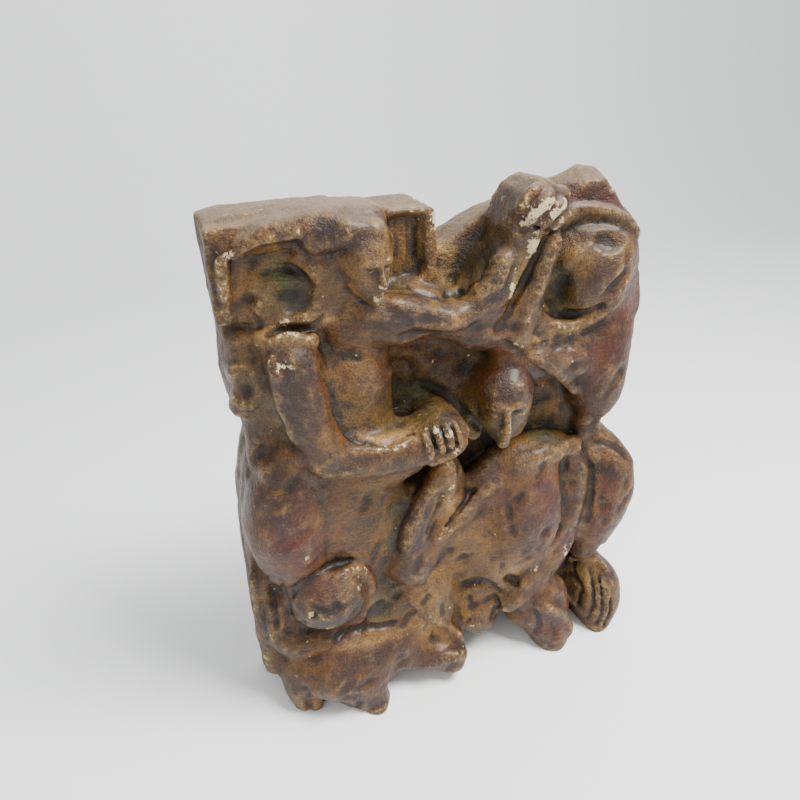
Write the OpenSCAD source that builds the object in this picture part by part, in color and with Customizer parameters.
// A free-standing clay block of intertwined figures.
// The front faces -Y, +Z is up, and the block stands on the plane Z = 0.
// Two slabs with strips and ribs between them make a hollow core.
// The figures are rolls and lumps of clay, each pressed on the front slab and on the rolls laid before it.

/* [Core] */
// Thickness of the front and back slabs
wall = 10; // [8:1:12]
// Hollow between the two slabs
hollow = 14; // [10:1:18]
// Width of the strips that close the hollow
strip = 13; // [10:1:16]

/* [Relief] */
// How far the figures stand out, as a share of the natural depth
relief = 1; // [0.85:0.05:1.15]
// Facets round a roll of clay
facets = 14; // [8:2:16]

/* [Colours] */
// Warm brown of the waxed high parts
brown = "#6b4a34";
// Purple brown of the most rubbed parts
umber = "#54403a";
// Red brown of the hood, the hip and the foot
russet = "#7a4535";
// Ochre of the middle tones
ochre = "#8a6a3e";
// Grey green of the hollows
verdigris = "#6d6f55";
// Bare clay inside
bare = "#b79a78";

/* [Hidden] */

// The core is drawn from the front slab's face, y = 0, back to depth_y
back_y = hollow + wall;
depth_y = back_y + wall;
// How far the foremost toe stands out from the front slab, and the middle of the width
toe = 46.8;
middle_x = 12;
// Longer than anything that is cut
far = 400;
// Heights where the left and right strips meet the base strip and the top strip
strip_low = 40;
strip_high = 300;

// Outline of the back slab, [x, z], clockwise from the lower left corner
back_outline = [
    [-127, 0], [-130, 60], [-131, 120], [-130, 165], [-126, 190], [-119, 212], [-128, 234], [-130, 252],
    [-129, 272], [-133, 339], [-120, 342], [-62, 343], [-54, 340], [-12, 341], [-8, 338], [-7, 312],
    [8, 319], [28, 328], [52, 336], [80, 345], [92, 346], [110, 321], [128, 282], [131, 270],
    [126, 254], [120, 234], [117, 212], [114, 198], [124, 180], [138, 162], [144, 150], [146, 134],
    [143, 112], [136, 94], [130, 80], [144, 56], [148, 40], [146, 14], [136, 0]
];

// Outline of the front slab, shorter at the foot so that the block stands on its feet
front_outline = [
    [-120, 14], [-126, 60], [-129, 120], [-129, 165], [-125, 190], [-118, 212], [-127, 234],
    [-129, 252], [-128, 272], [-132, 339], [-120, 342], [-62, 343], [-54, 340], [-13, 341], [-10, 339],
    [-8, 314], [8, 322], [28, 333], [52, 340], [82, 351], [94, 351], [111, 323], [130, 282], [133, 271],
    [128, 254], [121, 234], [118, 212], [115, 197], [125, 180], [140, 162], [146, 150], [148, 134],
    [145, 112], [138, 94], [132, 80], [146, 56], [150, 40], [146, 18], [134, 14], [60, 20], [34, 24],
    [-40, 24], [-90, 14]
];

// Outlines of the two ribs inside the hollow, [x, z]
upper_rib_outline = [[-100, 212], [-96, 226], [90, 240], [94, 226]];
lower_rib_outline = [[-100, 112], [-104, 126], [110, 140], [106, 126]];

// Outlines of the raised blocks, [x, z]
headdress_outline = [
    [-132, 288], [-133, 338], [-60, 342], [-12, 341], [-9, 338], [-8, 296], [-60, 292]
];
hood_back = [
    [46, 330], [54, 346], [84, 357], [96, 355], [114, 324], [134, 282], [137, 271], [131, 256],
    [66, 262]
];
hood_front = [
    [60, 326], [80, 350], [94, 350], [112, 322], [132, 282], [134, 272], [127, 258], [76, 264]
];
hood_y = -18;
headdress_y = -12;
hollow_dish = [-94, 304, 15];

// Stations of the rolls, [x, y, z, radius].
// The y is that of the ball at the front: each roll reaches back from it to the slab.
hair_band_path = [
    [-52, -20, 337, 10], [-72, -22, 338, 10], [-92, -20, 336, 8], [-110, -17, 331, 6],
    [-120, -13, 321, 6], [-122, -7, 296, 6]
];
hair_roll_path = [
    [-82, -18, 322, 8], [-74, -18, 312, 8], [-73, -17, 300, 8], [-81, -16, 291, 7],
    [-95, -16, 286, 7], [-108, -14, 280, 7]
];
left_head_path = [[-63, -20, 330, 13], [-60, -20, 318, 13], [-57, -20, 308, 10]];
left_neck_path = [[-63, -14, 301, 9], [-63, -14, 292, 11], [-63, -14, 282, 13]];
left_upper_arm_path = [
    [-96, -24, 268, 15], [-93, -26, 250, 14], [-89, -27, 232, 14], [-81, -27, 214, 14]
];
left_forearm_path = [[-81, -27, 210, 14], [-61, -28, 205, 14], [-42, -29, 203, 13], [-27, -30, 204, 12]];
left_fist_path = [[-20, -30, 207, 13], [-11, -31, 210, 14], [-4, -30, 210, 11]];
left_chest_path = [[-66, -8, 269, 13], [-60, -10, 253, 16], [-57, -10, 236, 15], [-56, -7, 219, 13]];
left_belly_path = [[-52, 4, 157, 20], [-50, 2, 135, 20], [-46, 2, 110, 18], [-40, 0, 90, 13]];
left_hip_path = [[-102, -6, 197, 13], [-104, -8, 177, 24], [-105, -9, 152, 27], [-102, -8, 128, 21]];
flank_strip_path = [[-119, -2, 275, 9], [-117, -4, 254, 10], [-114, -4, 226, 9], [-115, -4, 202, 9]];
flank_curl_path = [[-124, -6, 259, 6], [-118, -8, 252, 9], [-123, -7, 240, 8]];
lower_flank_path = [[-124, 0, 110, 9], [-124, 1, 69, 9], [-121, 2, 29, 9]];
far_upper_arm_path = [
    [-57, -14, 282, 14], [-39, -17, 284, 16], [-21, -18, 283, 15], [-3, -20, 279, 12],
    [13, -20, 275, 11]
];
far_forearm_path = [[15, -20, 281, 13], [22, -21, 296, 12], [30, -23, 311, 10], [37, -25, 325, 9]];
clasped_hands_path = [[34, -26, 330, 9], [41, -27, 340, 12], [50, -27, 337, 11], [45, -26, 346, 9]];
right_forearm_path = [[40, -20, 263, 12], [42, -22, 281, 12], [45, -25, 300, 10], [51, -26, 321, 9]];
right_shoulder_path = [[40, -16, 261, 11], [59, -16, 253, 15], [83, -15, 244, 19]];
right_head_path = [[92, -20, 307, 19], [90, -20, 294, 19], [87, -18, 283, 13]];
right_collar_path = [
    [59, -20, 273, 5], [70, -22, 266, 5], [85, -23, 266, 5], [99, -22, 274, 5], [105, -20, 286, 5]
];
right_torso_path = [
    [111, -14, 254, 18], [106, -14, 235, 19], [107, -13, 212, 15], [111, -12, 192, 7],
    [112, -11, 179, 7]
];
right_hip_path = [
    [121, -12, 171, 8], [129, -15, 153, 16], [131, -17, 135, 20], [129, -17, 114, 19],
    [125, -15, 91, 15], [121, -12, 74, 11]
];
right_leg_path = [[70, -15, 27, 13], [85, -18, 30, 19], [89, -23, 15, 18], [91, -29, 1, 13]];
corner_foot_path = [
    [130, -12, 55, 10], [136, -17, 41, 16], [138, -20, 24, 19], [136, -24, 8, 14],
    [134, -27, -2, 10]
];
centre_hood_path = [
    [22, -7, 193, 6], [22, -9, 214, 7], [27, -10, 232, 7], [39, -11, 241, 7], [55, -10, 237, 6],
    [70, -7, 223, 5]
];
centre_head_path = [[38, -18, 229, 16], [40, -19, 215, 14], [43, -19, 201, 9]];
centre_torso_path = [[67, 2, 148, 26], [66, 2, 128, 33], [63, 0, 108, 32], [66, 0, 86, 24]];
centre_right_arm_path = [
    [1, -16, 172, 8], [-11, -18, 159, 9], [-22, -20, 142, 10], [-28, -20, 123, 12],
    [-26, -19, 112, 11]
];
centre_right_forearm_path = [
    [-15, -19, 116, 9], [0, -18, 130, 9], [16, -15, 142, 10], [31, -10, 150, 11]
];
centre_left_arm_path = [
    [82, -8, 168, 7], [96, -12, 165, 10], [101, -14, 147, 12], [100, -15, 127, 12],
    [97, -16, 109, 11]
];
centre_left_forearm_path = [[94, -17, 95, 12], [84, -19, 77, 12], [69, -20, 61, 12], [53, -20, 47, 10]];
centre_lap_path = [[27, -2, 64, 15], [28, -4, 44, 18], [33, -8, 31, 16], [38, -14, 28, 9]];
crouching_head_path = [[-89, -16, 99, 23], [-84, -17, 101, 26], [-79, -16, 99, 23]];
crouching_back_path = [[-115, -6, 89, 11], [-115, -8, 70, 13], [-105, -11, 58, 14], [-88, -13, 58, 13]];
crouching_arm_path = [[-83, -17, 48, 10], [-60, -18, 48, 9], [-40, -18, 47, 9], [-23, -17, 42, 8]];
shin_ridge_path = [
    [-27, -6, 81, 9], [-21, -12, 65, 10], [-10, -16, 49, 10], [1, -20, 34, 9], [9, -24, 27, 7]
];
left_heel_path = [[-103, -12, 31, 15], [-103, -14, 15, 15], [-99, -16, -2, 11], [-95, -18, -9, 8]];
left_foot_path = [[-65, -18, 30, 23], [-64, -22, 14, 21], [-59, -28, 3, 14], [-58, -39, -4, 9]];
knee_path = [[-33, -18, 28, 15], [-16, -22, 24, 14], [-3, -27, 20, 13], [2, -30, 17, 12]];

// Between stations a and b, with their neighbours before and after, at share t
function along(before, a, b, after, t) =
    a + (b - before) * t / 2
    + (2 * before - 5 * a + 4 * b - after) * t * t / 2
    + (3 * a - before - 3 * b + after) * t * t * t / 2;

// The stations with steps more between each pair, on a smooth curve
function smooth(path, steps) = [
    for (i = [0 : len(path) - 2], k = [0 : steps - 1])
        along(path[max(i - 1, 0)], path[i], path[i + 1], path[min(i + 2, len(path) - 1)], k / steps),
    path[len(path) - 1]
];

// A ball of clay with a round stem that reaches back to the slab
module lump(station) {
    translate([station.x, station.y * relief, station.z])
        sphere(r = station[3], $fn = facets);
    translate([station.x, 0, station.z])
        rotate([90, 0, 0])
            cylinder(r = station[3], h = 1, $fn = facets);
}

// A roll of clay through the stations of a path
module roll(path) {
    stations = smooth(path, ceil(8 / (len(path) - 1)));
    for (i = [0 : len(stations) - 2])
        hull() {
            lump(stations[i]);
            lump(stations[i + 1]);
        }
}

// A slab with an outline of [x, z] points, from y = near back to y = away
module slab(outline, near, away) {
    translate([0, away, 0])
        rotate([90, 0, 0])
            linear_extrude(away - near)
                polygon(outline);
}

// The outline that the two slabs share
module shared_outline() {
    intersection() {
        polygon(back_outline);
        polygon(front_outline);
    }
}

// The band just inside the shared outline that closes the hollow
module strip_ring() {
    translate([0, back_y, 0])
        rotate([90, 0, 0])
            linear_extrude(hollow)
                difference() {
                    shared_outline();
                    offset(delta = -strip)
                        shared_outline();
                }
}

// Everything between two heights and two sides
module region(x0, x1, z0, z1) {
    translate([x0, -far, z0])
        cube([x1 - x0, 2 * far, z1 - z0]);
}

// Moves a piece so that the block stands centred on the origin
module placed() {
    translate([-middle_x, (toe * relief - depth_y) / 2, 0])
        children();
}

// The first child in its place, cut off at the slab's face and at the floor
// and hollowed round the other children
module applied() {
    placed()
        difference() {
            children(0);
            translate([-far, 0, -far])
                cube(2 * far);
            translate([-far, -far, -2 * far])
                cube(2 * far);
            if ($children > 1)
                children([1 : $children - 1]);
        }
}

// The part of that band between two heights and two sides, in its place
module strip_part(x0, x1, z0, z1) {
    placed()
        intersection() {
            strip_ring();
            region(x0, x1, z0, z1);
        }
}

// Slabs, strips and ribs of the core
module back_wall() {
    color(brown)
        placed()
            slab(back_outline, back_y, depth_y);
}

module front_wall() {
    color(verdigris)
        placed()
            slab(front_outline, 0, wall);
}

module left_strip() {
    color(brown)
        strip_part(-far, -90, strip_low, strip_high);
}

module right_strip() {
    color(brown)
        strip_part(90, far, strip_low, strip_high);
}

module top_strip() {
    color(ochre)
        strip_part(-far, far, strip_high, far);
}

module base_strip() {
    color(bare)
        strip_part(-far, far, -far, strip_low);
}

module upper_rib() {
    color(bare)
        placed()
            slab(upper_rib_outline, wall, back_y);
}

module lower_rib() {
    color(bare)
        placed()
            slab(lower_rib_outline, wall, back_y);
}

// Left figure
module headdress_form() {
    difference() {
        slab(headdress_outline, headdress_y * relief, 0);
        translate([hollow_dish.x, 0, hollow_dish.y])
            rotate([90, 0, 0])
                cylinder(r = hollow_dish.z, h = far, center = true);
    }
}

module headdress_block() {
    color(ochre)
        placed()
            headdress_form();
}

module hair_band() {
    color(umber)
        applied() {
            roll(hair_band_path);
            headdress_form();
        }
}

module left_head() {
    color(brown)
        applied() {
            roll(left_head_path);
            headdress_form();
            roll(hair_band_path);
        }
}

module hair_roll() {
    color(umber)
        applied() {
            roll(hair_roll_path);
            headdress_form();
            roll(hair_band_path);
            roll(left_head_path);
        }
}

module left_neck() {
    color(brown)
        applied() {
            roll(left_neck_path);
            headdress_form();
            roll(left_head_path);
            roll(hair_roll_path);
        }
}

module left_upper_arm() {
    color(umber)
        applied() {
            roll(left_upper_arm_path);
            headdress_form();
            roll(hair_roll_path);
        }
}

module left_forearm() {
    color(brown)
        applied() {
            roll(left_forearm_path);
            roll(left_upper_arm_path);
        }
}

module left_fist() {
    color(brown)
        applied() {
            roll(left_fist_path);
            roll(left_forearm_path);
        }
}

module left_chest() {
    color(brown)
        applied() {
            roll(left_chest_path);
            headdress_form();
            roll(left_upper_arm_path);
            roll(left_neck_path);
            roll(left_forearm_path);
        }
}

module far_upper_arm() {
    color(umber)
        applied() {
            roll(far_upper_arm_path);
            headdress_form();
            roll(left_neck_path);
            roll(left_chest_path);
        }
}

module far_forearm() {
    color(umber)
        applied() {
            roll(far_forearm_path);
            roll(far_upper_arm_path);
        }
}

module flank_strip() {
    color(ochre)
        applied() {
            roll(flank_strip_path);
            roll(left_upper_arm_path);
            headdress_form();
        }
}

module flank_curl() {
    color(umber)
        applied() {
            roll(flank_curl_path);
            roll(left_upper_arm_path);
            roll(flank_strip_path);
        }
}

module lower_flank() {
    color(ochre)
        applied() {
            roll(lower_flank_path);
            roll(left_hip_path);
            roll(flank_strip_path);
        }
}

module left_hip() {
    color(umber)
        applied() {
            roll(left_hip_path);
            roll(left_upper_arm_path);
            roll(left_forearm_path);
            roll(flank_strip_path);
        }
}

module left_belly() {
    color(ochre)
        applied() {
            roll(left_belly_path);
            roll(left_forearm_path);
            roll(left_hip_path);
        }
}

// Right figure

module right_forearm() {
    color(umber)
        applied() {
            roll(right_forearm_path);
            roll(far_forearm_path);
            roll(far_upper_arm_path);
        }
}

module clasped_hands() {
    color(brown)
        applied() {
            roll(clasped_hands_path);
            roll(far_forearm_path);
            roll(right_forearm_path);
        }
}

module right_shoulder() {
    color(brown)
        applied() {
            roll(right_shoulder_path);
            roll(right_forearm_path);
            roll(far_upper_arm_path);
        }
}

module hood_form() {
    hull() {
        slab(hood_back, -1, 0);
        slab(hood_front, hood_y * relief, -1);
    }
}

module right_hood() {
    color(russet)
        placed()
            difference() {
                hood_form();
                roll(right_forearm_path);
                roll(right_shoulder_path);
            }
}

module right_head() {
    color(brown)
        applied() {
            roll(right_head_path);
            hood_form();
        }
}

module right_collar() {
    color(russet)
        applied() {
            roll(right_collar_path);
            hood_form();
            roll(right_head_path);
            roll(right_shoulder_path);
        }
}

module right_torso() {
    color(brown)
        applied() {
            roll(right_torso_path);
            hood_form();
            roll(right_shoulder_path);
            roll(right_collar_path);
        }
}

module right_hip() {
    color(russet)
        applied() {
            roll(right_hip_path);
            roll(right_torso_path);
        }
}

// Centre figure

module centre_head() {
    color(umber)
        applied() {
            roll(centre_head_path);
        }
}

module centre_hood() {
    color(ochre)
        applied() {
            roll(centre_hood_path);
            roll(centre_head_path);
            roll(right_shoulder_path);
        }
}

module centre_torso() {
    color(russet)
        applied() {
            roll(centre_torso_path);
            roll(centre_head_path);
        }
}

module centre_right_arm() {
    color(umber)
        applied() {
            roll(centre_right_arm_path);
            roll(centre_torso_path);
            roll(left_forearm_path);
        }
}

module centre_right_forearm() {
    color(brown)
        applied() {
            roll(centre_right_forearm_path);
            roll(centre_right_arm_path);
            roll(centre_torso_path);
        }
}

module centre_left_arm() {
    color(umber)
        applied() {
            roll(centre_left_arm_path);
            roll(centre_torso_path);
            roll(right_torso_path);
            roll(right_hip_path);
        }
}

module centre_left_forearm() {
    color(brown)
        applied() {
            roll(centre_left_forearm_path);
            roll(centre_left_arm_path);
            roll(centre_torso_path);
            roll(right_hip_path);
        }
}

module right_leg() {
    color(russet)
        applied() {
            roll(right_leg_path);
            roll(centre_left_forearm_path);
            roll(right_hip_path);
        }
}

module corner_foot() {
    color(ochre)
        applied() {
            roll(corner_foot_path);
            roll(right_leg_path);
            roll(right_hip_path);
        }
}

module centre_lap() {
    color(ochre)
        applied() {
            roll(centre_lap_path);
            roll(centre_torso_path);
            roll(centre_left_forearm_path);
        }
}

// Crouching figure

module crouching_head() {
    color(umber)
        applied() {
            roll(crouching_head_path);
            roll(left_hip_path);
        }
}

module crouching_back() {
    color(ochre)
        applied() {
            roll(crouching_back_path);
            roll(crouching_head_path);
            roll(left_hip_path);
        }
}

module crouching_arm() {
    color(brown)
        applied() {
            roll(crouching_arm_path);
            roll(crouching_back_path);
            roll(crouching_head_path);
        }
}

module shin_ridge() {
    color(ochre)
        applied() {
            roll(shin_ridge_path);
            roll(centre_lap_path);
            roll(crouching_arm_path);
        }
}

module left_heel() {
    color(brown)
        applied() {
            roll(left_heel_path);
            roll(crouching_back_path);
            roll(crouching_arm_path);
        }
}

module left_foot() {
    color(brown)
        applied() {
            roll(left_foot_path);
            roll(left_heel_path);
            roll(crouching_arm_path);
        }
}

module knee() {
    color(brown)
        applied() {
            roll(knee_path);
            roll(left_foot_path);
            roll(crouching_arm_path);
            roll(shin_ridge_path);
            roll(centre_lap_path);
        }
}

back_wall();
front_wall();
left_strip();
right_strip();
top_strip();
base_strip();
upper_rib();
lower_rib();
headdress_block();
hair_band();
left_head();
hair_roll();
left_neck();
left_upper_arm();
left_forearm();
left_fist();
left_chest();
far_upper_arm();
far_forearm();
flank_strip();
flank_curl();
lower_flank();
left_hip();
left_belly();
right_forearm();
clasped_hands();
right_shoulder();
right_hood();
right_head();
right_collar();
right_torso();
right_hip();
centre_head();
centre_hood();
centre_torso();
centre_right_arm();
centre_right_forearm();
centre_left_arm();
centre_left_forearm();
right_leg();
corner_foot();
centre_lap();
crouching_head();
crouching_back();
crouching_arm();
shin_ridge();
left_heel();
left_foot();
knee();
